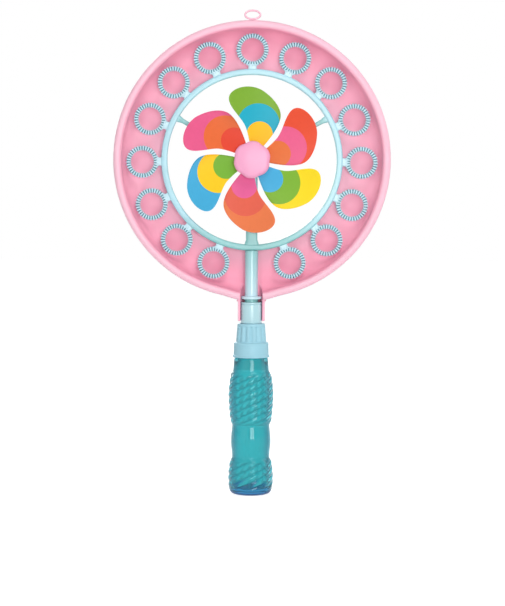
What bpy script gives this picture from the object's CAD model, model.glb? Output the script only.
"""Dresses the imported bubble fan: tray, bubble rings, pinwheel, stem, screw cap and bottle."""
import math
from functools import partial

import bmesh
import bpy
import numpy as np
from bpy.props import FloatProperty, FloatVectorProperty, IntProperty, PointerProperty
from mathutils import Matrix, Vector


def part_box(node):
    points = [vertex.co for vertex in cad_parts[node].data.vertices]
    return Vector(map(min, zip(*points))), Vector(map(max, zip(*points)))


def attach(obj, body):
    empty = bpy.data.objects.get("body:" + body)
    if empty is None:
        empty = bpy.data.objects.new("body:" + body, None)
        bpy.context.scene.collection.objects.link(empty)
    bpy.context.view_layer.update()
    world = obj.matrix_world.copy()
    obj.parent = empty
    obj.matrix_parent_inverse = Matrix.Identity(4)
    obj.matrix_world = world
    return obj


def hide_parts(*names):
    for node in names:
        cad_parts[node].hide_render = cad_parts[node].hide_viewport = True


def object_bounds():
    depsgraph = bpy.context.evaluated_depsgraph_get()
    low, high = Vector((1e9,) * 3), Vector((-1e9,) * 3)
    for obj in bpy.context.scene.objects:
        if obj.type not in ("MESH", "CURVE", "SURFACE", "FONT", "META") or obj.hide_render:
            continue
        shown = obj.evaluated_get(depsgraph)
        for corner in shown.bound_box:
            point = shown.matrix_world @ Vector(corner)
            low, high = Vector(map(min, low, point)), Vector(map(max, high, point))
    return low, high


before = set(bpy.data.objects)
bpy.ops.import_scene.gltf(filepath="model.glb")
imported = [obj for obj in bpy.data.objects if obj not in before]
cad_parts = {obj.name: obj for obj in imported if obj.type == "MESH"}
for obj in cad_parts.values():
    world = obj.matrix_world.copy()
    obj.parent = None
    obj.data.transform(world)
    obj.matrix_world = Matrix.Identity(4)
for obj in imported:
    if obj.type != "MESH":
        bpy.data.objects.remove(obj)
CAD_LOW, CAD_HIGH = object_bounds()

bl_info = {
    "name": "Bubble Fan",
    "version": (1, 0, 0),
    "blender": (4, 5, 0),
    "location": "View3D > Sidebar > Bubble Fan",
    "description": "Dresses a bubble fan with its tray, bubble rings, pinwheel and soap bottle",
    "category": "Object",
}

MM = 0.001
TURN = 2 * math.pi

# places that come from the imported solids
HOOP_LOW, HOOP_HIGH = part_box("wand_hoop")
TRAY_LOW, TRAY_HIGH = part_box("tray")
STEM_LOW, STEM_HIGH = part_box("stem")
CAP_LOW, CAP_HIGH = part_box("screw_cap")
BOTTLE_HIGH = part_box("bottle")[1]
HUB_LOW, HUB_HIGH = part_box("hub_cap")
BOSS_FRONT = -HOOP_LOW.y
HOOP_OUT_R = (HOOP_HIGH.x - HOOP_LOW.x) / 2
DISC_Z = HOOP_HIGH.z - HOOP_OUT_R
TRAY_R = (TRAY_HIGH.x - TRAY_LOW.x) / 2

# room between the stem and the tray's sill under it
SILL_GAP = 0.9 * MM
# height of one turn of the thread on the bottle's neck
THREAD_PITCH = 4 * MM
# size of a blade's map
BLADE_MAP = 100 * MM


def linear(text):
    """Linear colour of an sRGB hex value: c / 12.92 when dark, else ((c + 0.055) / 1.055)^2.4."""
    c = np.array([int(text[i:i + 2], 16) for i in (1, 3, 5)]) / 255
    return tuple(np.where(c <= 0.04045, c / 12.92, ((c + 0.055) / 1.055) ** 2.4).tolist())


def length(name, description, mm):
    """A size property, given in millimetres and kept in metres."""
    return FloatProperty(name=name, description=description, default=mm * MM, min=0,
                         unit="LENGTH", precision=5)


def angle(name, description, degrees):
    """An angle property, given in degrees."""
    return FloatProperty(name=name, description=description, default=math.radians(degrees),
                         subtype="ANGLE")


def count(name, description, default):
    """A property for a number of repeats."""
    return IntProperty(name=name, description=description, default=default)


def colour(name, description, default):
    """A colour property, given as sRGB hex."""
    return FloatVectorProperty(name=name, description=description, default=linear(default),
                               subtype="COLOR", size=3, min=0, max=1)


class BubbleFanSizes(bpy.types.PropertyGroup):
    """Sizes of the pieces that are drawn here."""

    tray_wall: length("Tray wall", "Wall thickness of the dipping tray", 1.6)
    trough_depth: length("Trough depth", "Depth of the trough floor behind the hoop's middle", 9)
    trough_in_r: length("Trough inner radius", "Radius where the trough starts", 82.1)
    trough_out_r: length("Trough outer radius", "Radius where the trough ends", TRAY_R / MM - 8.1)
    pocket_r: length("Pocket radius", "Radius of the round pocket under a ring", 13)
    pocket_depth: length("Pocket depth", "Depth of the round pocket under a ring", 4)
    rim_roll_r: length("Rim roll", "Radius of the rolled rim", 3.9)
    notch_half: length("Notch half width", "Half width of the notch for the stem", 10.5)
    cradle_wall: length("Cradle wall", "Wall thickness of the snap cradle", 2.4)
    hoop_w: length("Hoop width", "Radial width of the hoop", 5.9)
    hoop_t: length("Hoop thickness", "Front-to-back thickness of the hoop", 5)
    ring_pitch_r: length("Ring circle", "Radius of the circle of ring centres", HOOP_OUT_R / MM + 18)
    ring_out_r: length("Ring outer radius", "Outer radius of a bubble ring", 15.5)
    ring_in_r: length("Ring inner radius", "Inner radius of a bubble ring", 10.5)
    ring_t: length("Ring thickness", "Front-to-back thickness over the ribs", 4.4)
    ring_step: angle("Ring step", "Angle between two rings", 22.8)
    ring_count: count("Rings", "Bubble rings round the hoop", 15)
    rib_count: count("Ribs", "Ribs round one bubble ring", 34)
    spoke_w: length("Spoke width", "Width of the two upper spokes", 4.3)
    spoke_angle: angle("Spoke angle", "Angle of the two upper spokes from straight up", 61)
    bar_w: length("Bar width", "Width of the lower bar", 10.9)
    stem_r: length("Stem radius", "Radius of the stem", 6.3)
    collar_r: length("Collar radius", "Radius of the collar in the cradle", 10)
    collar_h: length("Collar height", "Height of the collar", 20)
    groove_h: length("Groove height", "Height of the groove between the flanges", 3)
    flute_count: count("Flutes", "Flutes round the screw cap", 14)
    hub_lobe_r: length("Hub radius", "Radius of the hub cap over its lobes", 17.6)
    blade_t: length("Blade thickness", "Thickness of a blade", 1)
    curl_r: length("Blade curl", "Radius of the curl of a blade", 120)
    blade_turn: angle("Wheel turn", "Turn of the first blade, clockwise", 6)
    grip_starts: count("Grip ribs", "Slanted ribs round a bulge of the bottle", 9)
    grip_pitch: length("Grip pitch", "Height from one slanted rib to the next", 6.65)
    grip_rise: length("Grip rib height", "How far a slanted rib stands out", 0.9)


class BubbleFanColours(bpy.types.PropertyGroup):
    """Colours of the finishes."""

    tray: colour("Tray", "Pink of the dipping tray's rim", "#fac4d5")
    tray_deep: colour("Tray inside", "Richer pink inside the trough", "#ffa6bf")
    hub: colour("Hub", "Pink of the hub cap", "#f0a3c6")
    wand: colour("Wand", "Light blue of the wand's hoop", "#acd9e5")
    wand_gap: colour("Rib gap", "Deep teal in the gaps between the ribs of a ring", "#4a93a3")
    wand_thick: colour("Thick wand", "Teal where hoop, bar and stem meet and are thick", "#7bbdbb")
    cap: colour("Cap", "Blue of the screw cap", "#9fd0df")
    rib: colour("Rib", "Paler blue of the rings' thin ribs and of the stem", "#c4e4ee")
    bottle: colour("Bottle", "Teal of the bottle", "#5fcacf")
    bottle_groove: colour("Bottle grooves", "Deep teal in the grooves of the bottle", "#078898")
    bottle_edge: colour("Bottle edge", "Full teal where the wall is seen along its length", "#089fb6")
    bottle_foot: colour("Bottle foot", "Blue of the thick bottle foot", "#0f6cb8")
    seal: colour("Seal", "White of the sealing washer", "#e6eaec")
    steel: colour("Steel", "Grey of the axle pin", "#c4c6c8")
    stage: colour("Stage", "White of the floor", "#fbfbfb")


# outer, middle and inner band of each blade, clockwise from the top
BLADE_BANDS = (
    ("#7caa34", "#1fa9c2", "#f5bf1c"),
    ("#e65033", "#e8608c", "#e5723a"),
    ("#fbdc24", "#80b438", "#4aaedb"),
    ("#ea7c4c", "#e4644f", "#e8639a"),
    ("#46acd8", "#f8cb22", "#76b038"),
    ("#e35787", "#e46832", "#e0432c"),
)

# centre and radius of the middle and the inner band on a blade's map
BAND_CIRCLES = (
    ((0.525, 0.335, 0), 0.2),
    ((0.546, 0.245, 0), 0.123),
)

# place, size in metres and power in watts of each lamp
LAMPS = {
    "key light": ((0.35, -0.9, 1.5), 0.8, 7.5),
    "front light": ((0.25, -1.9, 0.3), 0.8, 15.5),
    "fill light": ((-1.1, -1.4, 0.4), 1.2, 3),
    "side light": ((1.6, 0.1, 0.6), 1.0, 4),
    "back light": ((-0.5, 1.4, 0.8), 1.0, 13),
}


def sizes():
    """The sizes now set on the scene."""
    return bpy.context.scene.bubble_fan_sizes


def colours():
    """The colours now set on the scene."""
    return bpy.context.scene.bubble_fan_colours


# lines and surfaces

def grid_quads(rows, cols, wrap_rows, wrap_cols):
    """Corner numbers of the quads between neighbours of a grid, joined round where wrapped."""
    i = np.arange(rows if wrap_rows else rows - 1)[:, None]
    j = np.arange(cols if wrap_cols else cols - 1)[None, :]
    k = (i + 1) % rows
    m = (j + 1) % cols
    return np.stack([i * cols + j, i * cols + m, k * cols + m, k * cols + j], axis=-1).reshape(-1, 4)


def skin(points, wrap_rows=False, wrap_cols=True, caps=False):
    """A grid of points (rows, cols, 3) as points and faces; caps close its first and last row."""
    rows, cols = points.shape[:2]
    faces = grid_quads(rows, cols, wrap_rows, wrap_cols).tolist()
    if caps:
        faces.append(list(range(cols)))
        faces.append(list(range((rows - 1) * cols, rows * cols)))
    return points.reshape(-1, 3), faces


def paired_ends(rows, cols, seam):
    """Faces that close both ends of a U section: strips between points at equal steps from a seam."""
    step = np.arange(cols // 2 - 1)
    ahead = (seam + 1 + step) % cols
    behind = (seam - step) % cols
    strip = np.stack([behind, ahead, (ahead + 1) % cols, (behind - 1) % cols], axis=-1)
    return strip.tolist() + (strip + (rows - 1) * cols).tolist()


def quadratic(a, p, b, t):
    """Curve (1-t)^2 a + 2t(1-t) p + t^2 b, which leaves a towards p and reaches b from p."""
    return (1 - t) ** 2 * a + 2 * t * (1 - t) * p + t ** 2 * b


def chained(points):
    """Cubic curves (1-t)^3 a + 3t(1-t)^2 b + 3t^2(1-t) c + t^3 d, joined at every third point."""
    p = np.asarray(points, float)
    a, b, c, d = (p[k:len(p) - 3 + k:3, None] for k in range(4))
    t = np.linspace(0, 1, 24)[1:, None]
    curve = (1 - t) ** 3 * a + 3 * t * (1 - t) ** 2 * b + 3 * t ** 2 * (1 - t) * c + t ** 3 * d
    return np.concatenate([p[:1], curve.reshape(-1, 2)])


def rounded(corners, setback, steps):
    """Closed outline whose corners are quadratic curves between points set back on their edges."""
    p = np.asarray(corners, float)
    s = np.broadcast_to(np.asarray(setback, float), len(p))[:, None]
    before = np.roll(p, 1, axis=0) - p
    after = np.roll(p, -1, axis=0) - p
    a = p + before / np.linalg.norm(before, axis=1)[:, None] * s
    b = p + after / np.linalg.norm(after, axis=1)[:, None] * s
    t = np.linspace(0, 1, steps + 1)[None, :, None]
    outline = quadratic(a[:, None], p[:, None], b[:, None], t).reshape(-1, 2)
    step = np.linalg.norm(outline - np.roll(outline, 1, axis=0), axis=1)
    return outline[step > 1e-7]


def flowing(points):
    """Line of quadratic curves between the middles of its edges, from first to last point."""
    p = np.asarray(points, float)
    middles = (p[:-1] + p[1:]) / 2
    a = np.concatenate([p[:1], middles[1:-1]])
    b = middles[1:]
    t = np.linspace(0, 1, 8, endpoint=False)[None, :, None]
    curve = quadratic(a[:, None], p[1:-1, None], b[:, None], t)
    return np.concatenate([curve.reshape(-1, 2), p[-1:]])


def arc(centre, radius, start, end, steps):
    """Points of a circle's arc: centre + radius (cos a, sin a), a in degrees from start to end."""
    a = np.radians(np.linspace(start, end, steps))
    return np.asarray(centre) + radius * np.stack([np.cos(a), np.sin(a)], axis=-1)


def walked(line):
    """Distance walked along a line at each of its points."""
    return np.concatenate([[0], np.cumsum(np.linalg.norm(np.diff(line, axis=0), axis=1))])


def spaced(line, gap):
    """A line at even steps of about gap, both ends kept: every coordinate by distance walked."""
    way = walked(line)
    stops = np.linspace(0, way[-1], max(2, int(way[-1] / gap) + 1))
    return np.stack([np.interp(stops, way, line[:, k]) for k in range(line.shape[1])], axis=-1)


def smooth(t):
    """0 below 0, 1 above 1 and 3t^2 - 2t^3 between."""
    t = np.clip(t, 0, 1)
    return t * t * (3 - 2 * t)


def between(v, start, end, fade_in, fade_out):
    """Rises smoothly from 0 at start to 1 within fade_in, and falls to 0 at end within fade_out."""
    return smooth((v - start) / fade_in) * smooth((end - v) / fade_out)


def full_turn(steps):
    """Even angles once round."""
    return np.linspace(0, TURN, steps, endpoint=False)


def turned(outline, angles):
    """Outline (r, h) turned round Z, a row per angle: x = r sin a, y = -r cos a, z = h."""
    r, h = outline.T
    x = np.sin(angles)[:, None] * r
    y = -np.cos(angles)[:, None] * r
    return np.stack(np.broadcast_arrays(x, y, h), axis=-1)


def on_face(right, up, front):
    """From the wheel's plane to the frame: x = right, y = -front, z = wheel height + up."""
    return np.stack(np.broadcast_arrays(right, -front, DISC_Z + up), axis=-1)


def disc_turned(outline, angles):
    """Outline (r, front) turned round the wheel's axle: right = r sin a, up = r cos a."""
    flat = turned(outline, angles)
    return on_face(flat[..., 0], -flat[..., 1], flat[..., 2])


def swung(x, y, turn):
    """A blade's or bar's own x and y turned clockwise on the wheel's plane, as right and up."""
    return x * math.cos(turn) + y * math.sin(turn), y * math.cos(turn) - x * math.sin(turn)


def soft_square(steps, power):
    """Rounded square of half size 1: cos and sin of the angle, their sizes to a power below 1."""
    a = full_turn(steps)
    c, s = np.cos(a), np.sin(a)
    return np.sign(c) * np.abs(c) ** power, np.sign(s) * np.abs(s) ** power


def spoke(turn, stations, widths, thick, power):
    """Bar turned clockwise from up: a rounded square of set width at each station from the axle."""
    across, out = soft_square(steps=32, power=power)
    y = np.asarray(stations)[:, None]
    x = np.broadcast_to(widths, len(stations))[:, None] / 2 * across
    right, up = swung(x, y, turn)
    return skin(on_face(right, up, thick / 2 * out), caps=True)


def piece(name, parts, material, body, nodes, sharp=38, tone=None):
    """One object of several closed skins, doubles merged, faces outwards, smooth up to an edge angle.

    tone gives every point a share of the main colour for the finish to read, 0 for the deep one.
    """
    counts = [len(points) for points, faces in parts]
    starts = np.cumsum([0] + counts[:-1]).tolist()
    points = np.concatenate([points for points, faces in parts])
    faces = [[v + start for v in face] for (_, part), start in zip(parts, starts) for face in part]
    mesh = bpy.data.meshes.new(name)
    mesh.from_pydata(points.tolist(), [], faces)
    if tone is not None:
        layer = mesh.attributes.new("tone", "FLOAT", "POINT")
        layer.data.foreach_set("value", np.asarray(tone, np.float32))
    work = bmesh.new()
    work.from_mesh(mesh)
    bmesh.ops.remove_doubles(work, verts=work.verts, dist=1e-7)
    bmesh.ops.dissolve_degenerate(work, edges=work.edges, dist=1e-8)
    bmesh.ops.recalc_face_normals(work, faces=work.faces)
    work.to_mesh(mesh)
    work.free()
    mesh.shade_smooth()
    mesh.set_sharp_from_angle(angle=math.radians(sharp))
    mesh.materials.append(material)
    obj = bpy.data.objects.new(name, mesh)
    bpy.context.scene.collection.objects.link(obj)
    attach(obj, body)
    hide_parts(*nodes)
    return obj


# finishes

BLEND = {"data_type": "RGBA"}
SOFT_STEP = {"interpolation_type": "SMOOTHSTEP"}


def add_node(tree, kind, settings=None, **inputs):
    """Adds a shader node with its options, and sets each socket or links it to the output given.

    A socket goes by its name, with _ for a space, or by its number, such as i0. A node given for a
    socket stands for its first output.
    """
    node = tree.nodes.new("ShaderNode" + kind)
    for key, value in (settings or {}).items():
        setattr(node, key, value)
    for key, value in inputs.items():
        numbered = key[0] == "i" and key[1:].isdigit()
        socket = node.inputs[int(key[1:]) if numbered else key.replace("_", " ")]
        if isinstance(value, bpy.types.Node):
            value = value.outputs[0]
        if isinstance(value, bpy.types.NodeSocket):
            tree.links.new(value, socket)
        else:
            socket.default_value = value
    return node


def new_material(name):
    """An empty material, what adds its nodes, and the place on the object for its patterns."""
    material = bpy.data.materials.new(name)
    material.use_nodes = True
    material.node_tree.nodes.clear()
    add = partial(add_node, material.node_tree)
    return material, add, add("TexCoord").outputs["Object"]


def rgba(colour_value):
    """A colour with full opacity."""
    return (*tuple(colour_value)[:3], 1.0)


def shaded(colour_value, factor):
    """A colour made darker or lighter by a factor."""
    return rgba(min(1.0, c * factor) for c in colour_value)


def moulded_plastic(name, base, roughness, grain_mm, swirl_mm, coat=0.0, deep=None):
    """Moulded polypropylene: faint flow swirls in the colour, spark-eroded grain in the gloss.

    The real grain is too fine to show, so it is drawn coarser. deep is the richer colour in gaps and
    hollows, where light bounces from wall to wall before it comes out.
    """
    material, add, place = new_material(name)
    swirl = add("TexNoise", Vector=place, Scale=1 / (swirl_mm * MM), Detail=3.0, Roughness=0.5)
    tint = add("Mix", BLEND, i0=swirl, i6=shaded(base, 0.95), i7=shaded(base, 1.04)).outputs[2]
    if deep is not None:
        tone = add("Attribute", {"attribute_name": "tone"})
        tint = add("Mix", BLEND, i0=tone.outputs["Fac"], i6=rgba(deep), i7=tint).outputs[2]
    grain = add("TexNoise", Vector=place, Scale=1 / (grain_mm * MM), Detail=2.0, Roughness=0.6)
    gloss = add("MapRange", Value=grain, To_Min=roughness - 0.05, To_Max=roughness + 0.07)
    bump = add("Bump", Strength=0.12, Distance=0.05 * MM, Height=grain)
    shader = add("BsdfPrincipled", Base_Color=tint, Roughness=gloss, IOR=1.49,
                 Specular_IOR_Level=0.3, Coat_Weight=coat, Coat_Roughness=0.15, Normal=bump)
    add("OutputMaterial", Surface=shader)
    return material


def blown_bottle_plastic(name, base, groove, edge, foot):
    """Blown clear-tinted PET: deeper in the grooves and at the edges, blue in the thick foot.

    Seen along its length the wall lets less light through. Blowing leaves long faint waves.
    """
    material, add, place = new_material(name)
    tone = add("Attribute", {"attribute_name": "tone"})
    wall = add("Mix", BLEND, i0=tone.outputs["Fac"], i6=rgba(groove), i7=rgba(base))
    slant = add("LayerWeight", Blend=0.5).outputs["Facing"]
    along = add("MapRange", SOFT_STEP, Value=slant, From_Min=0.08, From_Max=0.7, To_Max=0.95)
    body = add("Mix", BLEND, i0=along, i6=wall.outputs[2], i7=rgba(edge))
    height = add("SeparateXYZ", Vector=place).outputs["Z"]
    rise = add("MapRange", SOFT_STEP, Value=height, From_Min=1.5 * MM, From_Max=7 * MM)
    tint = add("Mix", BLEND, i0=rise, i6=rgba(foot), i7=body.outputs[2])
    stretch = add("Mapping", Vector=place, Scale=(1, 1, 0.12))
    flow = add("TexNoise", Vector=stretch, Scale=1 / (4 * MM), Detail=2.0)
    bump = add("Bump", Strength=0.25, Distance=0.4 * MM, Height=flow)
    clear = add("MapRange", SOFT_STEP, Value=slant, From_Min=0.25, From_Max=0.85, To_Min=0.97,
                To_Max=0.45)
    shader = add("BsdfPrincipled", Base_Color=tint.outputs[2], Roughness=0.05, IOR=1.38,
                 Specular_IOR_Level=0.25, Transmission_Weight=clear, Normal=bump)
    add("OutputMaterial", Surface=shader)
    return material


def printed_sheet(name, bands):
    """Printed PVC sheet: three nested colour bands with crisp edges, ink grain and a soft sheen.

    The real ink grain is too fine to show, so it is drawn coarser.
    """
    material, add, place = new_material(name)
    spot = add("UVMap", {"uv_map": "blade"}).outputs[0]
    tint = rgba(linear(bands[0]))
    for (centre, radius), band in zip(BAND_CIRCLES, bands[1:]):
        reach = add("VectorMath", {"operation": "DISTANCE"}, i0=spot, i1=centre)
        within = add("Math", {"operation": "LESS_THAN"}, i0=reach.outputs["Value"], i1=radius)
        tint = add("Mix", BLEND, i0=within, i6=tint, i7=rgba(linear(band))).outputs[2]
    ink = add("TexNoise", Vector=place, Scale=1 / (3 * MM), Detail=4.0)
    level = add("MapRange", Value=ink, To_Min=0.96, To_Max=1.04)
    inked = add("VectorMath", {"operation": "SCALE"}, i0=tint, i3=level)
    bump = add("Bump", Strength=0.1, Distance=0.1 * MM, Height=ink)
    shader = add("BsdfPrincipled", Base_Color=inked, Roughness=0.42, IOR=1.5,
                 Specular_IOR_Level=0.2, Normal=bump)
    add("OutputMaterial", Surface=shader)
    return material


def turned_steel(name, base):
    """Turned mild steel: a grey shine in the tool's rings, which are drawn coarse enough to show."""
    material, add, place = new_material(name)
    centred = add("Mapping", Vector=place, Location=(0, 0, -DISC_Z))
    rings = add("TexWave", {"wave_type": "RINGS", "rings_direction": "Y"}, Vector=centred,
                Scale=1 / (6 * MM), Distortion=0.3)
    gloss = add("MapRange", Value=rings.outputs["Fac"], To_Min=0.28, To_Max=0.42)
    shader = add("BsdfPrincipled", Base_Color=rgba(base), Metallic=1.0, Roughness=gloss)
    add("OutputMaterial", Surface=shader)
    return material


def foam_washer(name, base):
    """Cut polyethylene foam: tiny closed cells that scatter light, quite matte."""
    material, add, place = new_material(name)
    cells = add("TexVoronoi", Vector=place, Scale=1 / (0.4 * MM))
    bump = add("Bump", Strength=0.4, Distance=0.1 * MM, Height=cells)
    shader = add("BsdfPrincipled", Base_Color=rgba(base), Roughness=0.8, Normal=bump)
    add("OutputMaterial", Surface=shader)
    return material


def paint_node(node, material):
    """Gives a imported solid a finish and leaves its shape."""
    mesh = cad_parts[node].data
    mesh.materials.clear()
    mesh.materials.append(material)


# dipping tray

def tray_half_outlines(s):
    """Front and back line of the tray's section (radius, front): lip, floor, wall, rim, back."""
    lip = -s.hoop_t / 2 - 0.3 * MM
    floor = -s.trough_depth
    crest = -TRAY_LOW.y - s.rim_roll_r
    hem = crest - 1.2 * MM
    curve = crest - floor
    inner = s.trough_in_r - s.tray_wall
    roll = (TRAY_R - s.rim_roll_r, crest)
    over = arc(roll, s.rim_roll_r, 180, 0, steps=16)
    under = arc(roll, s.rim_roll_r - s.tray_wall, 0, 180, steps=14)
    corners = np.concatenate([
        [(inner, lip), (s.trough_in_r, lip), (s.trough_in_r, floor), (s.trough_out_r, floor)],
        over,
        [(TRAY_R, hem), (TRAY_R - s.tray_wall, hem)],
        under,
        [(s.trough_out_r + s.tray_wall, floor - s.tray_wall), (inner, floor - s.tray_wall)]])
    setback = np.concatenate([
        [0.5 * MM, 0.5 * MM, 5.6 * MM, curve],
        np.zeros(len(over)),
        [0.6 * MM, 0.6 * MM],
        np.zeros(len(under)),
        [curve + s.tray_wall, 7 * MM]])
    outline = rounded(corners, setback, steps=10)
    past_rim = np.arange(len(outline)) > np.argmax(outline[:, 0])
    low = int(np.argmax((outline[:, 1] < hem + 0.01 * MM) & past_rim))
    gap = 1.15 * MM
    front = spaced(outline[:low + 1], gap)
    back = spaced(np.concatenate([outline[low + 1:], outline[:1]]), gap)
    return front, back[:-1]


def ring_angles(s):
    """Angle of every ring, clockwise from straight up."""
    return s.ring_step * (np.arange(s.ring_count) - (s.ring_count - 1) / 2)


def pocket_drop(x, y, s, grow):
    """How far a pocket lowers the floor: depth (1 - (d / radius)^2)^1.3, d from the ring's centre."""
    reach = (s.ring_count - 1) / 2
    near = np.clip(np.round(np.arctan2(x, y) / s.ring_step), -reach, reach) * s.ring_step
    d = np.hypot(x - s.ring_pitch_r * np.sin(near), y - s.ring_pitch_r * np.cos(near))
    return s.pocket_depth * np.clip(1 - (d / (s.pocket_r + grow)) ** 2, 0, 1) ** 1.3


def notch_flare(r, s):
    """How far wall and rim lean out beside the notch: a smooth 1.8 mm step, ended at the wall."""
    return 1.8 * MM * smooth((r - s.trough_out_r) / (6 * MM) + 1)


def notched_turn(s):
    """Angles once round, with one on each cheek of the notch, and the rows of those two."""
    side = math.asin(s.notch_half / s.trough_out_r)
    even = full_turn(660)
    even = even[np.abs(np.abs(even - math.pi) - side) > 0.003]
    angles = np.sort(np.concatenate([even, [math.pi - side, math.pi + side]]))
    first, last = np.searchsorted(angles, [math.pi - side - 1e-6, math.pi + side - 1e-6])
    return angles, first, last


def bowl_tone(outline, angles, is_back, s):
    """Share of the rim's pink: all on the rim, some in the middle, at the sides and on the back."""
    rim = smooth((outline[:, 0] - TRAY_R + 7.4 * MM) / (2 * MM))
    within = 0.45 * smooth((s.ring_pitch_r + 4 * MM - outline[:, 0]) / (20 * MM))
    aside = 0.4 * np.sin(angles) ** 2
    return np.where(is_back, 0.6, np.maximum(rim, within + aside[:, None] * (1 - within)))


def tray_bowl(s):
    """The section turned round the axle and lowered at the pockets, its tone, and the sill's radius.

    In the notch the section stops at the sill under the stem, and cheeks close it on both sides.
    """
    front, back = tray_half_outlines(s)
    outline = np.concatenate([front, back])
    cols = len(outline)
    is_back = np.arange(cols) >= len(front)
    sill = -s.stem_r - SILL_GAP
    far = outline[:, 0] > s.ring_pitch_r
    beyond = int(np.argmax(far & (outline[:, 1] > sill)))
    far_back = far & is_back & (outline[:, 1] > sill - s.tray_wall)
    behind = cols - 1 - int(np.argmax(far_back[::-1]))
    angles, first, last = notched_turn(s)
    near_notch = smooth((math.radians(13) - np.abs(angles - math.pi)) / math.radians(8))
    r = outline[:, 0] + near_notch[:, None] * notch_flare(outline[:, 0], s)
    right = r * np.sin(angles)[:, None]
    up = r * np.cos(angles)[:, None]
    floor_only = smooth((s.trough_out_r - r) / (4 * MM))
    drop = pocket_drop(right, up, s, np.where(is_back, s.tray_wall, 0))
    points = on_face(right, up, outline[:, 1] - floor_only * drop).reshape(-1, 3)
    quads = grid_quads(len(angles), cols, True, True)
    row, col = quads[:, 0] // cols, quads[:, 0] % cols
    quads = quads[(row < first) | (row >= last) | (col < beyond) | (col >= behind)]
    steps = np.arange(first, last)[:, None] * cols
    ends = steps + np.array([beyond, beyond + cols, behind + cols, behind])
    cheeks = np.array([[first], [last]]) * cols + np.arange(beyond, behind + 1)
    used = np.unique(np.concatenate([quads.ravel(), ends.ravel(), cheeks.ravel()]))
    number = np.zeros(len(points), int)
    number[used] = np.arange(len(used))
    faces = number[quads].tolist() + number[ends].tolist() + number[cheeks].tolist()
    tone = bowl_tone(outline, angles, is_back, s).ravel()
    return (points[used], faces), tone[used], outline[beyond, 0]


def tucked(x, y, z, s, limit_r):
    """Depth of points: behind the trough's front within a radius, drawn into its wall at the top."""
    front, _ = tray_half_outlines(s)
    wall = front[(front[:, 0] > s.ring_pitch_r) & (front[:, 0] <= s.trough_out_r)]
    r = np.hypot(x, DISC_Z - z)
    depth = np.interp(r, wall[:, 0] + notch_flare(wall[:, 0], s), -wall[:, 1]) + 0.8 * MM
    behind = np.where(r < limit_r, np.maximum(y, depth), y)
    fade = smooth((z - TRAY_LOW.z - 31 * MM) / (11 * MM))
    return behind - fade * np.maximum(behind - depth, 0)


def tray_sill(s, sill_r):
    """The tongue under the stem: a circle's segment that fills the cradle's bend."""
    flat = s.stem_r + SILL_GAP
    bend = s.notch_half + 1.1 * MM
    start = math.degrees(math.asin(flat / bend))
    loop = arc((0, 0), bend, start, 180 - start, steps=24)
    levels = np.linspace(DISC_Z - TRAY_R + 3 * MM, TRAY_LOW.z + 42 * MM, 48)
    x, y, z = np.broadcast_arrays(*loop.T, levels[:, None])
    return skin(np.stack([x, tucked(x, y, z, s, sill_r - 0.3 * MM), z], axis=-1), caps=True)


def tray_cradle(s):
    """A U section, two arms and a half round back, carried up the handle into the trough's wall."""
    r_in = s.notch_half - 0.2 * MM
    r_out = s.notch_half + s.cradle_wall
    reach = -5 * MM
    bend_steps = 40
    tip_steps = 6
    corners = np.concatenate([
        arc((0, 0), r_out, 0, 180, bend_steps),
        [(-r_out, reach), (-r_in, reach)],
        arc((0, 0), r_in, 180, 0, bend_steps),
        [(r_in, reach), (r_out, reach)]])
    setback = np.where(corners[:, 1] == reach, 0.9 * MM, 0)
    loop = rounded(corners, setback, tip_steps)
    heights = np.concatenate([[0, 0.15, 0.5], np.linspace(1, 24, 12), np.linspace(25, 43, 40)])
    levels = heights * MM + TRAY_LOW.z
    shrink = np.zeros(len(levels))
    shrink[:2] = (0.55 * MM, 0.2 * MM)
    size = np.hypot(loop[:, 0], loop[:, 1])
    middle = (r_in + r_out) / 2
    pull = 1 - np.outer(shrink, np.sign(size - middle)) / size
    x = loop[:, 0] * pull
    z = np.broadcast_to(levels[:, None], x.shape)
    y = tucked(x, loop[:, 1] * pull, z, s, s.trough_out_r + 2.6 * MM)
    points, faces = skin(np.stack([x, y, z], axis=-1))
    faces += paired_ends(len(levels), len(loop), bend_steps + tip_steps)
    inside = np.where(loop[:, 1] < 0, np.abs(loop[:, 0]), size) < middle
    return (points, faces), np.tile(np.where(inside, 0.2, 1.0), len(levels))


def capsule(start, end, radius):
    """Short rod with domed ends: rings of radius sqrt(1 - u^6) along the line."""
    start, end = np.asarray(start, float), np.asarray(end, float)
    u = np.sin(np.linspace(-math.pi / 2, math.pi / 2, 17))
    a = full_turn(24)
    axis = (end - start) / np.linalg.norm(end - start)
    side = np.cross(axis, (0, 1, 0))
    up = np.cross(axis, side)
    ring = np.cos(a)[:, None] * side + np.sin(a)[:, None] * up
    middle = (start + end) / 2 + u[:, None] * (end - start) / 2
    r = radius * np.sqrt(np.clip(1 - u ** 6, 0, 1))
    return skin(middle[:, None, :] + r[:, None, None] * ring[None, :, :], caps=True)


def cradle_nubs(s):
    """The two nubs of the cradle that snap into the stem's groove."""
    z = CAP_HIGH.z + s.collar_h + s.groove_h / 2
    start = s.notch_half - 1.2 * MM
    end = s.notch_half + s.cradle_wall + 1.2 * MM
    return [capsule((side * start, 0, z), (side * end, 0, z), 1.15 * MM) for side in (-1, 1)]


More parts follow.
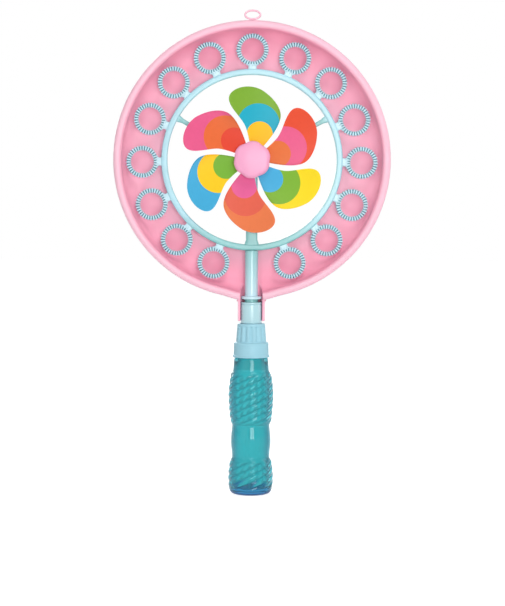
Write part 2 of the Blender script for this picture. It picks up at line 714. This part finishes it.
def hang_loop():
    """A flattened round wire carried round an oval on the rim: across = a cos t, up = b sin t."""
    wire = 0.95 * MM
    half_w = 6.2 * MM + wire
    half_h = (TRAY_HIGH.z - DISC_Z - TRAY_R + 0.1 * MM) / 2 - wire
    t = full_turn(64)
    path = np.stack([half_w * np.cos(t), half_h * np.sin(t)], axis=-1)
    out = np.stack([half_h * np.cos(t), half_w * np.sin(t)], axis=-1)
    out = out / np.linalg.norm(out, axis=1)[:, None]
    a = full_turn(16)
    xy = path[:, None, :] + wire * np.cos(a)[None, :, None] * out[:, None, :]
    middle_up = TRAY_HIGH.z - DISC_Z - half_h - wire
    front = 1.6 * MM * np.sin(a) + 6.6 * MM
    return skin(on_face(xy[..., 0], xy[..., 1] + middle_up, front), wrap_rows=True)


class BUBBLEFAN_OT_tray(bpy.types.Operator):
    """Makes the dipping tray with its rolled rim, pockets, hanging loop and snap cradle"""

    bl_idname = "bubble_fan.tray"
    bl_label = "Dipping tray"

    def execute(self, context):
        s = sizes()
        c = colours()
        pink = moulded_plastic("pink polypropylene, moulded", c.tray, roughness=0.4, grain_mm=0.5,
                               swirl_mm=30, deep=c.tray_deep)
        bowl, bowl_share, sill_r = tray_bowl(s)
        cradle, cradle_share = tray_cradle(s)
        sill = tray_sill(s, sill_r)
        rest = [hang_loop()] + cradle_nubs(s)
        shares = [bowl_share, cradle_share, np.zeros(len(sill[0]))]
        shares += [np.ones(len(points)) for points, faces in rest]
        piece("dipping_tray", [bowl, cradle, sill] + rest, pink, "tray", ["tray"],
              tone=np.concatenate(shares))
        return {"FINISHED"}


# wand: hoop, rings and stem

def hoop_band(s):
    """The hoop: a rounded rectangle of its width and thickness turned round the axle."""
    half = s.hoop_t / 2
    inner = HOOP_OUT_R - s.hoop_w
    corners = [(inner, -half), (HOOP_OUT_R, -half), (HOOP_OUT_R, half), (inner, half)]
    outline = rounded(corners, setback=1.6 * MM, steps=6)
    return skin(disc_turned(outline, full_turn(360)), wrap_rows=True)


def axle_boss(s):
    """The axle boss: a stepped plug with a bore for the pin, turned round the axle."""
    half = s.hoop_t / 2
    bore = 2.05 * MM
    back_r = 9 * MM
    front_r = 7.4 * MM
    corners = [(bore, -half), (back_r, -half), (back_r, half), (front_r, BOSS_FRONT),
               (bore, BOSS_FRONT)]
    outline = rounded(corners, np.array([0.1, 0.8, 0.8, 0.7, 0.1]) * MM, steps=5)
    return skin(disc_turned(outline, full_turn(72)), wrap_rows=True)


def hoop_bars(s, inner):
    """Two spokes, the lower bar and the plug into the stem, flared where they meet hoop and boss."""
    along = np.linspace(5 * MM, inner, 26)
    at_hoop = smooth((along - inner + 7 * MM) / (7 * MM))
    at_boss = smooth((12 * MM - along) / (6 * MM))
    width = s.spoke_w + 3.2 * MM * (at_hoop + at_boss)
    bars = [spoke(side * s.spoke_angle, along, width, thick=4 * MM, power=0.45) for side in (-1, 1)]
    bar_width = s.bar_w + 4 * MM * smooth((along - inner + 6 * MM) / (6 * MM))
    bars.append(spoke(math.pi, along, bar_width, thick=4.2 * MM, power=0.4))
    plug = np.linspace(HOOP_OUT_R - 1.5 * MM, DISC_Z - HOOP_LOW.z, 6)
    bars.append(spoke(math.pi, plug, widths=7.4 * MM, thick=4.2 * MM, power=0.6))
    return bars


class BUBBLEFAN_OT_hoop(bpy.types.Operator):
    """Makes the hoop with its two spokes, lower bar, axle boss and the plug into the stem"""

    bl_idname = "bubble_fan.hoop"
    bl_label = "Wand hoop"

    def execute(self, context):
        s = sizes()
        c = colours()
        blue = moulded_plastic("light-blue polypropylene, moulded", c.wand, roughness=0.3,
                               grain_mm=0.45, swirl_mm=26, coat=0.3, deep=c.wand_thick)
        inner = HOOP_OUT_R - s.hoop_w + 1.5 * MM
        parts = [hoop_band(s), axle_boss(s)] + hoop_bars(s, inner)
        points = np.concatenate([points for points, faces in parts])
        x, up = points[:, 0], points[:, 2] - DISC_Z
        low = smooth((-up - 45 * MM) / (36 * MM))
        within = smooth((inner + 1 * MM - np.hypot(x, up)) / (6 * MM))
        piece("wand_hoop_skin", parts, blue, "wand", ["wand_hoop"],
              tone=1 - 0.9 * np.maximum(low, within))
        return {"FINISHED"}


def ribbed_ring(turn, s):
    """Ring that swells from web to rib by a smooth step of cos(ribs a), and that swell as tone."""
    section_steps = 24
    a = full_turn(s.rib_count * 12)
    swell = smooth((np.cos(s.rib_count * a) + 0.55) / 0.7)
    across, out = soft_square(section_steps, power=0.55)
    half_w = (s.ring_out_r - s.ring_in_r) / 2
    middle = (s.ring_out_r + s.ring_in_r) / 2
    w = half_w - 0.8 * MM * (1 - swell)
    t = s.ring_t / 2 - 1.3 * MM * (1 - swell)
    r = middle + w[:, None] * across
    right = s.ring_pitch_r * math.sin(turn) + r * np.sin(a + turn)[:, None]
    up = s.ring_pitch_r * math.cos(turn) + r * np.cos(a + turn)[:, None]
    ring = skin(on_face(right, up, t[:, None] * out), wrap_rows=True)
    return ring, np.repeat(swell, section_steps)


def ring_tab(turn, s):
    """The tab between hoop and ring: a bar that narrows in its middle, by |t|^2.2 from there."""
    start = HOOP_OUT_R - 1.6 * MM
    end = s.ring_pitch_r - s.ring_out_r + 1.9 * MM
    t = np.linspace(-1, 1, 16)
    width = 7.6 * MM + 4.2 * MM * np.abs(t) ** 2.2
    return spoke(turn, np.linspace(start, end, len(t)), width, thick=3 * MM, power=0.45)


class BUBBLEFAN_OT_rings(bpy.types.Operator):
    """Makes the ribbed bubble rings, each with its tab"""

    bl_idname = "bubble_fan.rings"
    bl_label = "Bubble rings"

    def execute(self, context):
        s = sizes()
        c = colours()
        blue = moulded_plastic("light-blue polypropylene, ribbed", c.rib, roughness=0.32,
                               grain_mm=0.45, swirl_mm=20, coat=0.2, deep=c.wand_gap)
        for number, turn in enumerate(ring_angles(s).tolist(), 1):
            ring, ribs = ribbed_ring(turn, s)
            tab = ring_tab(turn, s)
            tone = np.concatenate([ribs, np.ones(len(tab[0]))])
            piece(f"ribbed_ring_{number:02d}", [ring, tab], blue, "wand",
                  [f"bubble_ring_{number:02d}"], sharp=45, tone=tone)
        return {"FINISHED"}


class BUBBLEFAN_OT_stem(bpy.types.Operator):
    """Makes the hollow stem with its two flanges, groove, collar and plug"""

    bl_idname = "bubble_fan.stem"
    bl_label = "Stem"

    def execute(self, context):
        s = sizes()
        c = colours()
        blue = moulded_plastic("light-blue polypropylene, glossy", c.rib, roughness=0.2,
                               grain_mm=0.6, swirl_mm=22, coat=0.6, deep=c.wand_thick)
        low, high = STEM_LOW.z, STEM_HIGH.z
        seat = CAP_HIGH.z + 0.05 * MM
        top = CAP_HIGH.z + s.collar_h
        groove = top + s.groove_h
        flange = groove + 2.7 * MM
        collar_r = s.collar_r
        lip_r = collar_r + 0.1 * MM
        plug_r, groove_r, flange_r, bore_r = 8.9 * MM, 6.4 * MM, 10 * MM, 4.3 * MM
        corners = [(plug_r, low), (plug_r, seat), (collar_r, seat), (collar_r, top - 2.4 * MM),
                   (collar_r - 0.45 * MM, top - 2.1 * MM), (lip_r, top - 1.7 * MM), (lip_r, top),
                   (groove_r, top), (groove_r, groove), (flange_r, groove), (flange_r, flange),
                   (s.stem_r, flange), (s.stem_r, high), (bore_r, high), (bore_r, low)]
        setback = [0.3, 0.1, 0.3, 0.2, 0.2, 0.25, 0.6, 0.5, 0.5, 0.7, 0.9, 0.8, 0.7, 0.3, 0.3]
        outline = rounded(corners, np.array(setback) * MM, steps=5)
        tube = skin(turned(outline, full_turn(96)), wrap_rows=True)
        height = tube[0][:, 2]
        shaft = 0.25 + 0.75 * smooth((high - height - 3 * MM) / (13 * MM))
        tone = np.where(height > groove, shaft, np.where(height > top, 0.1, 0.72))
        piece("stem_tube", [tube], blue, "wand", ["stem"], tone=tone)
        return {"FINISHED"}


# screw cap and bottle

def fluted_cap(s):
    """The cap's section turned round, with flutes 1.1 mm (0.5 + 0.5 cos(flutes a))^1.6 deep."""
    low = CAP_LOW.z
    top = CAP_HIGH.z
    roof = STEM_LOW.z - 0.05 * MM
    ledge = low + 14.4 * MM
    ceiling = ledge - 1.2 * MM
    corners = [(17.6, low), (17.6, low + 1.6 * MM), (16.8, low + 2.3 * MM), (16.4, ledge - 0.4 * MM),
               (14.4, ledge + 0.1 * MM), (14.3, ledge + 1.2 * MM), (13.2, top - 2.6 * MM),
               (13.0, top - 0.3 * MM), (9.05, top - 0.1 * MM), (9.05, roof), (3, roof), (3, ceiling),
               (14.5, ceiling), (14.5, low)]
    setback = [0.4, 0.4, 0.4, 0.9, 0.3, 0.4, 0.6, 0.8, 0.2, 0.2, 0.3, 0.3, 0.3, 0.3]
    line = rounded([(r * MM, z) for r, z in corners], np.array(setback) * MM, steps=5)
    outline = spaced(np.concatenate([line, line[:1]]), 0.45 * MM)[:-1]
    r, z = outline[:, 0], outline[:, 1]
    angles = full_turn(s.flute_count * 18)
    grip = (r > 11 * MM) * between(z, ledge + 0.7 * MM, top - 2.4 * MM, 1 * MM, 1 * MM)
    flute = 1.1 * MM * (0.5 + 0.5 * np.cos(s.flute_count * angles)) ** 1.6
    shape = turned(outline, angles)
    shape[..., :2] *= (1 - flute[:, None] * grip / r)[..., None]
    return skin(shape, wrap_rows=True)


class BUBBLEFAN_OT_screw_cap(bpy.types.Operator):
    """Makes the screw cap with its fluted grip and wide skirt"""

    bl_idname = "bubble_fan.screw_cap"
    bl_label = "Screw cap"

    def execute(self, context):
        blue = moulded_plastic("light-blue polypropylene, cap", colours().cap, roughness=0.42,
                               grain_mm=0.5, swirl_mm=18)
        piece("fluted_cap", [fluted_cap(sizes())], blue, "wand", ["screw_cap"])
        return {"FINISHED"}


def bottle_outline():
    """Outside and inside line of the bottle (radius, height), and how far they are stretched.

    It goes from the foot over a bulge, a barrel waist and a bulge to the shoulder and the neck.
    """
    drawn_shoulder = 127.8
    shoulder = CAP_LOW.z / MM - 0.4
    mouth = BOTTLE_HIGH.z / MM
    stretch = shoulder / drawn_shoulder
    foot = [(0, 1.6), (6, 1.5), (12, 0.8), (13.4, 0), (16.4, 0), (19.3, 1.6), (20.6, 4.8)]
    low_bulge = [(20.9, 9), (21.3, 16.5), (20.8, 22.5), (20, 29), (19.4, 31.6), (18.2, 33.4)]
    waist = [(17.8, 35.6), (18, 40), (18.8, 46), (18.9, 50), (18.7, 55), (17.9, 62.5), (17.8, 65)]
    high_bulge = [(18.8, 67), (19.7, 70.5), (20.3, 76), (21, 85), (21.4, 92.2), (21, 99.5),
                  (20.3, 105.5), (19.3, 111.4), (18.4, 113.8)]
    top = [(17.2, 115.2), (16.9, 118.2), (16.6, 123), (16.2, 127), (15.6, drawn_shoulder),
           (14, drawn_shoulder)]
    side = flowing(np.array(foot + low_bulge + waist + high_bulge + top) * (1, stretch))
    neck = [(13.6, shoulder), (13.6, mouth - 0.5), (13.1, mouth)]
    well = [(12, 127), (15.8, 121), (16.2, 116.5), (18, 112), (19.8, 99), (19.9, 86), (18.6, 71),
            (16.7, 65.5), (17.7, 50), (16.7, 36), (18.6, 30), (19.8, 16), (19, 7), (15, 3.6),
            (6, 3.6), (0, 3.6)]
    lip = [(12.4, mouth), (12, mouth - 0.4)]
    outside = np.concatenate([side, neck])
    inside = np.concatenate([lip, flowing(np.array(well) * (1, stretch))])
    return spaced(outside * MM, 0.8 * MM), spaced(inside * MM, 2.4 * MM), stretch


def ribbed_bottle(s):
    """The bottle's section turned round and shaped, and its tone, which is less in grooves and seams.

    Both bulges have slanted ribs |sin(phase / 2)|, phase = starts a - 2 pi z / pitch, the waist has
    faint panels |cos(2 starts a)| and the neck has a thread.
    """
    outside, inside, stretch = bottle_outline()
    outline = np.concatenate([outside, inside])
    outer = np.arange(len(outline)) < len(outside)
    angles = full_turn(s.grip_starts * 30)
    r, height = outline[:, 0], outline[:, 1]
    z = height / stretch
    low = between(z, 5 * MM, 32.5 * MM, 2.5 * MM, 2 * MM)
    waist = between(z, 35 * MM, 65 * MM, 3 * MM, 3 * MM)
    high = between(z, 66.5 * MM, 114 * MM, 2 * MM, 2 * MM)
    phase = s.grip_starts * angles[:, None] - TURN * (height / s.grip_pitch)
    wave = np.abs(np.sin(phase / 2))
    ribs = (wave - 0.62) * s.grip_rise
    panel = np.abs(np.cos(s.grip_starts * 2 * angles))[:, None]
    neck_z = CAP_LOW.z + 0.6 * MM
    turns = (height - neck_z) / THREAD_PITCH - angles[:, None] / TURN
    thread = 0.6 * MM * np.clip(1.6 * np.cos(TURN * turns) - 0.6, 0, 1)
    neck = between(height, neck_z, BOTTLE_HIGH.z - 1 * MM, 1 * MM, 1 * MM)
    more = (ribs * (low + high) + 0.1 * MM * panel * waist + thread * neck) * outer
    shape = turned(outline, angles)
    shape[..., :2] *= (1 + more / np.maximum(r, 1 * MM))[..., None]
    grooves = (low + high) * (1 - smooth(wave / 0.45))
    seams = 0.35 * waist * (1 - smooth(panel / 0.5))
    tone = 1 - (grooves + seams) * outer
    return skin(shape, wrap_rows=True, wrap_cols=False), tone.ravel()


class BUBBLEFAN_OT_bottle(bpy.types.Operator):
    """Makes the hollow soap bottle with slanted grip ribs on its two bulges"""

    bl_idname = "bubble_fan.bottle"
    bl_label = "Soap bottle"

    def execute(self, context):
        c = colours()
        teal = blown_bottle_plastic("teal PET, blown", c.bottle, c.bottle_groove, c.bottle_edge,
                                    c.bottle_foot)
        wall, tone = ribbed_bottle(sizes())
        piece("soap_bottle", [wall], teal, "bottle", ["bottle"], sharp=50, tone=tone)
        return {"FINISHED"}


# pinwheel

def blade_sheet():
    """A flat blade before it is curled: straight lines from its curled edge to its plain edge."""
    curled = chained([(-2.5, 8), (-3.8, 16), (-6.5, 24.5), (-9.6, 30.5), (-14, 38.5),
                      (-27.5, 46.5), (-27.9, 55), (-28.3, 63.5), (-13, 71.5), (1, 66.6)])
    plain = chained([(5, 8), (14, 20), (22.3, 33), (22.4, 43), (22.5, 52), (12, 62), (1, 66.6)])
    rows = 60
    curled, plain = (spaced(line, walked(line)[-1] / (rows - 0.5)) for line in (curled, plain))
    u = np.linspace(0, 1, 40)[None, :, None]
    return ((1 - u) * curled[:, None, :] + u * plain[:, None, :]) * MM


def curled_blade(turn, s):
    """The sheet with thickness, curled: front = c - sqrt(R^2 - (x - shift)^2), c set by its root."""
    flat = blade_sheet()
    x, y = flat[..., 0], flat[..., 1]
    shift = 24.9 * MM
    root = BOSS_FRONT + 5 * MM
    at_root = math.sqrt(s.curl_r ** 2 - (shift - 2.5 * MM) ** 2)
    front = root + at_root - np.sqrt(s.curl_r ** 2 - (x - shift) ** 2)
    across = np.linspace(-1, 1, flat.shape[1])
    thin = s.blade_t / 2 * np.sqrt(np.clip(1 - across ** 24, 0.03, 1))
    upper = np.stack([x, y, front + thin], axis=-1)
    under = np.stack([x, y, front - thin], axis=-1)[:, ::-1]
    loop = np.concatenate([upper, under], axis=1)
    right, up = swung(loop[..., 0], loop[..., 1], turn)
    return skin(on_face(right, up, loop[..., 2]), caps=True)


def lay_blade_map(obj, turn):
    """UV map in the blade's own frame: right and up turned back, the middle line at 0.5."""
    mesh = obj.data
    places = np.empty(len(mesh.vertices) * 3)
    mesh.vertices.foreach_get("co", places)
    places = places.reshape(-1, 3)
    x, y = swung(places[:, 0], places[:, 2] - DISC_Z, -turn)
    corners = np.empty(len(mesh.loops), dtype=np.int32)
    mesh.loops.foreach_get("vertex_index", corners)
    uv = np.stack([x / BLADE_MAP + 0.5, y / BLADE_MAP], axis=-1)[corners]
    mesh.uv_layers.new(name="blade").data.foreach_set("uv", uv.astype(np.float32).ravel())


class BUBBLEFAN_OT_blades(bpy.types.Operator):
    """Makes the six curled blades of the pinwheel"""

    bl_idname = "bubble_fan.blades"
    bl_label = "Pinwheel blades"

    def execute(self, context):
        s = sizes()
        step = TURN / len(BLADE_BANDS)
        for number, bands in enumerate(BLADE_BANDS, 1):
            turn = s.blade_turn + step * (number - 1)
            sheet = printed_sheet(f"printed PVC sheet {number}", bands)
            obj = piece(f"curled_blade_{number}", [curled_blade(turn, s)], sheet, "pinwheel",
                        [f"blade_{number}"], sharp=50)
            lay_blade_map(obj, turn)
        return {"FINISHED"}


def lobed(outline, s):
    """The hub's section turned round, its rim drawn in by 1 mm (0.5 - 0.5 cos(6 a))^2."""
    angles = full_turn(180)
    lobes = len(BLADE_BANDS)
    depth = 1.0 * MM * (0.5 - 0.5 * np.cos(lobes * (angles - s.blade_turn))) ** 2
    near_rim = smooth((outline[:, 0] - 0.45 * s.hub_lobe_r) / (0.55 * s.hub_lobe_r))
    r = outline[:, 0] - depth[:, None] * near_rim
    return on_face(r * np.sin(angles)[:, None], r * np.cos(angles)[:, None], outline[:, 1])


class BUBBLEFAN_OT_hub(bpy.types.Operator):
    """Makes the domed hub cap and finishes the hub drum"""

    bl_idname = "bubble_fan.hub"
    bl_label = "Hub"

    def execute(self, context):
        s = sizes()
        pink = moulded_plastic("pink polypropylene, hub", colours().hub, roughness=0.35,
                               grain_mm=0.5, swirl_mm=12, coat=0.2)
        back = -HUB_HIGH.y
        front = -HUB_LOW.y
        rim = s.hub_lobe_r
        socket_r = 4.6 * MM
        socket = back + 4.6 * MM
        corners = [(0, socket), (socket_r, socket), (socket_r, back), (rim, back),
                   (rim, front - 2.4 * MM), (rim - 2.2 * MM, front - 0.9 * MM),
                   (8 * MM, front - 0.2 * MM), (0, front)]
        line = rounded(corners, np.array([0, 0.2, 0.2, 0.5, 1.6, 1.4, 3, 0]) * MM, steps=8)
        outline = line[np.argmin(line[:, 0] + np.abs(line[:, 1] - socket)):]
        dome = skin(lobed(outline, s), wrap_rows=True, wrap_cols=False)
        piece("hub_dome", [dome], pink, "pinwheel", ["hub_cap"])
        paint_node("hub_carrier", pink)
        return {"FINISHED"}


class BUBBLEFAN_OT_small_parts(bpy.types.Operator):
    """Finishes the axle pin and the sealing washer, whose solids stay"""

    bl_idname = "bubble_fan.small_parts"
    bl_label = "Pin and washer"

    def execute(self, context):
        paint_node("axle_pin", turned_steel("mild steel, turned", colours().steel))
        paint_node("cap_seal", foam_washer("polyethylene foam, cut", colours().seal))
        return {"FINISHED"}


# stage

def aim(obj, spot):
    """Turns an object's -Z to a point, with Y up."""
    obj.rotation_euler = (Vector(spot) - obj.location).to_track_quat("-Z", "Y").to_euler()


def lamp(name, place, spot, size, power):
    """A square soft light aimed at a point; clear walls show the white surround in its place."""
    data = bpy.data.lights.new(name, "AREA")
    data.size = size
    data.energy = power
    obj = bpy.data.objects.new(name, data)
    obj.location = place
    obj.visible_transmission = False
    bpy.context.scene.collection.objects.link(obj)
    aim(obj, spot)


def seen_directly(add):
    """1 for a ray from the camera, from a shiny surface or through a clear one, else 0."""
    ray = add("LightPath")
    shiny = add("Math", {"operation": "MAXIMUM"}, i0=ray.outputs["Is Camera Ray"],
                i1=ray.outputs["Is Glossy Ray"])
    clear = add("Math", {"operation": "MAXIMUM"}, i0=shiny, i1=ray.outputs["Is Transmission Ray"])
    return clear.outputs[0]


def white_sheet(name, base):
    """Matte white paper: shows shadows, else plain white to camera, mirrors and glass.

    Its fibre is too fine to show, so it is drawn coarser.
    """
    material, add, place = new_material(name)
    fibre = add("TexNoise", Vector=place, Scale=1 / (2 * MM), Detail=2.0)
    level = add("MapRange", Value=fibre, To_Min=0.995, To_Max=1.0)
    tint = add("VectorMath", {"operation": "SCALE"}, i0=tuple(base), i3=level)
    paper = add("BsdfDiffuse", Color=tint)
    glow = add("Emission", Color=rgba(base), Strength=0.62)
    dim = add("MixShader", i0=0.45, i1=paper, i2=glow)
    both = add("AddShader", i0=dim, i1=glow)
    shown = add("MixShader", i0=seen_directly(add), i1=paper, i2=both)
    add("OutputMaterial", Surface=shown)
    return material


def lay_floor(scene):
    """A flat white floor just under the bottle's foot."""
    x, y = np.meshgrid(np.linspace(-4, 4, 9), np.linspace(-4, 6, 11))
    points, faces = skin(np.stack([x, y, np.full_like(x, -0.2 * MM)], axis=-1), wrap_cols=False)
    mesh = bpy.data.meshes.new("floor")
    mesh.from_pydata(points.tolist(), [], faces)
    mesh.materials.append(white_sheet("white paper sweep, matte", colours().stage))
    floor = bpy.data.objects.new("floor", mesh)
    scene.collection.objects.link(floor)


def light_surround(scene):
    """A dim white world to the surfaces that it lights, and plain white where it is seen."""
    world = bpy.data.worlds.new("white surround")
    scene.world = world
    world.use_nodes = True
    world.node_tree.nodes.clear()
    add = partial(add_node, world.node_tree)
    lit = add("Background", Color=(0.97, 0.99, 1, 1), Strength=0.3)
    plain = add("Background", Color=(1, 1, 1, 1), Strength=1.0)
    mix = add("MixShader", i0=seen_directly(add), i1=lit, i2=plain)
    add("OutputWorld", Surface=mix)


def place_camera(scene):
    """The camera that sees the part as the photograph does, rolled a little to the left."""
    data = bpy.data.cameras.new("camera")
    data.lens = 112.5
    data.sensor_width = 36
    camera = bpy.data.objects.new("camera", data)
    camera.location = (0.0011, -1.8, 0.29)
    scene.collection.objects.link(camera)
    aim(camera, (0.0011, 0, 0.1826))
    camera.rotation_euler.rotate_axis("Z", math.radians(0.28))
    scene.camera = camera


class BUBBLEFAN_OT_stage(bpy.types.Operator):
    """Sets the floor, the lights, the white surround and the camera"""

    bl_idname = "bubble_fan.stage"
    bl_label = "Stage"

    def execute(self, context):
        scene = bpy.context.scene
        scene.view_settings.view_transform = "Standard"
        lay_floor(scene)
        light_surround(scene)
        middle = (0, 0, 0.5 * CAD_HIGH.z)
        for name, (place, size, power) in LAMPS.items():
            lamp(name, place, middle, size, power)
        place_camera(scene)
        return {"FINISHED"}


# add-on

STEPS = (BUBBLEFAN_OT_stage, BUBBLEFAN_OT_tray, BUBBLEFAN_OT_hoop, BUBBLEFAN_OT_rings,
         BUBBLEFAN_OT_stem, BUBBLEFAN_OT_screw_cap, BUBBLEFAN_OT_bottle, BUBBLEFAN_OT_blades,
         BUBBLEFAN_OT_hub, BUBBLEFAN_OT_small_parts)


class BUBBLEFAN_PT_panel(bpy.types.Panel):
    """Lists the steps in the sidebar"""

    bl_idname = "BUBBLEFAN_PT_panel"
    bl_label = "Bubble Fan"
    bl_space_type = "VIEW_3D"
    bl_region_type = "UI"
    bl_category = "Bubble Fan"

    def draw(self, context):
        for step in STEPS:
            self.layout.operator(step.bl_idname)


CLASSES = (BubbleFanSizes, BubbleFanColours, BUBBLEFAN_PT_panel) + STEPS


def register():
    for cls in CLASSES:
        bpy.utils.register_class(cls)
    bpy.types.Scene.bubble_fan_sizes = PointerProperty(type=BubbleFanSizes)
    bpy.types.Scene.bubble_fan_colours = PointerProperty(type=BubbleFanColours)


def unregister():
    del bpy.types.Scene.bubble_fan_colours
    del bpy.types.Scene.bubble_fan_sizes
    for cls in reversed(CLASSES):
        bpy.utils.unregister_class(cls)


def main():
    register()
    bpy.ops.bubble_fan.stage()
    bpy.ops.bubble_fan.tray()
    bpy.ops.bubble_fan.hoop()
    bpy.ops.bubble_fan.rings()
    bpy.ops.bubble_fan.stem()
    bpy.ops.bubble_fan.screw_cap()
    bpy.ops.bubble_fan.bottle()
    bpy.ops.bubble_fan.blades()
    bpy.ops.bubble_fan.hub()
    bpy.ops.bubble_fan.small_parts()


if __name__ == "__main__":
    main()
